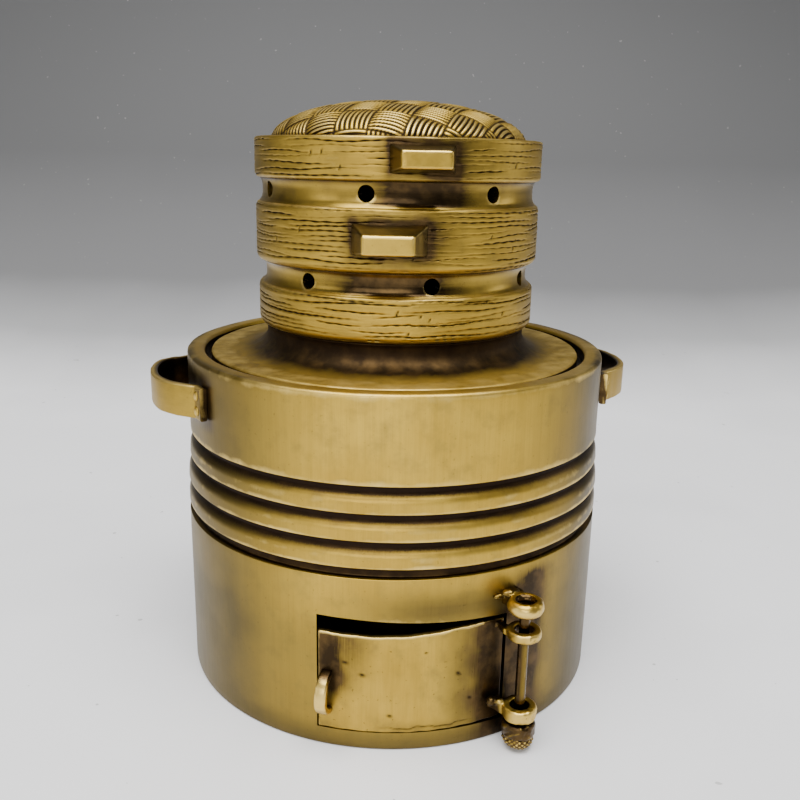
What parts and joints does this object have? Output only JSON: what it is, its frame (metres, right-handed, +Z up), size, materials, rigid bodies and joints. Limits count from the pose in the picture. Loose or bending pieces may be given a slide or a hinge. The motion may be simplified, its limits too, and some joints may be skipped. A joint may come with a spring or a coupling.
{
  "type": "alcohol spirit stove",
  "caption": "Small round brass spirit stove with a hinged fire door, strap handles and a lift-off cowl shaped as stacked steamer baskets with a woven lid.",
  "frame": {"origin": "centre of the flat underside of the firebox", "axes": "+Z up along the firebox axis, -Y towards the fire door, +X to the right of someone facing the door"},
  "size_m": [0.1178, 0.1045, 0.1362],
  "materials": {
    "body_brass": "brushed, patinated",
    "plate_brass": "brushed, patinated",
    "handle_brass": "worn, satin",
    "basket_brass": "carved bamboo grain, patinated",
    "dome_brass": "woven relief, dark in the gaps",
    "door_brass": "brushed, patinated",
    "polished_brass": "polished by wear",
    "hinge_brass": "rough cast",
    "pin_bronze": "drawn rod, tarnished",
    "inner_brass": "dull, dark",
    "burner_brass": "spun, satin",
    "wick_cotton": "braided cotton"
  },
  "bodies": {
    "stove": {"body_shell": "body_brass", "base_plate": "inner_brass", "left_handle": "handle_brass", "right_handle": "handle_brass", "left_handle_rivets": "handle_brass", "right_handle_rivets": "handle_brass", "upper_hinge_eye": "polished_brass", "lower_hinge_lug": "hinge_brass", "hinge_pin": "pin_bronze", "hinge_finial": "hinge_brass", "grate": "inner_brass", "grate_lugs": "inner_brass", "fuel_reservoir": "burner_brass", "burner_top": "burner_brass", "wick_holder": "burner_brass", "wick": "wick_cotton", "filler_cap": "burner_brass"},
    "door": {"door_leaf": "door_brass", "upper_knuckle": "hinge_brass", "lower_knuckle": "hinge_brass", "door_pull": "polished_brass"},
    "cowl": {"top_plate": "plate_brass", "low_basket": "basket_brass", "low_rack": "inner_brass"},
    "middle_tier": {"middle_basket": "basket_brass", "middle_rack": "inner_brass", "middle_clip": "polished_brass"},
    "lid": {"lid_band": "basket_brass", "woven_dome": "dome_brass", "lid_clip": "polished_brass"}
  },
  "joints": [
    {"name": "door_swing", "type": "hinge", "parent": "stove", "child": "door", "pos_m": [0.02302, -0.0505, 0.017], "axis": [0, 0, 1], "range_deg": [0, 120]},
    {"name": "cowl_lift", "type": "slide", "parent": "stove", "child": "cowl", "axis": [0, 0, 1], "range_m": [0, 0.03]},
    {"name": "tier_lift", "type": "slide", "parent": "cowl", "child": "middle_tier", "axis": [0, 0, 1], "range_m": [0, 0.02]},
    {"name": "lid_lift", "type": "slide", "parent": "middle_tier", "child": "lid", "axis": [0, 0, 1], "range_m": [0, 0.02]}
  ]
}
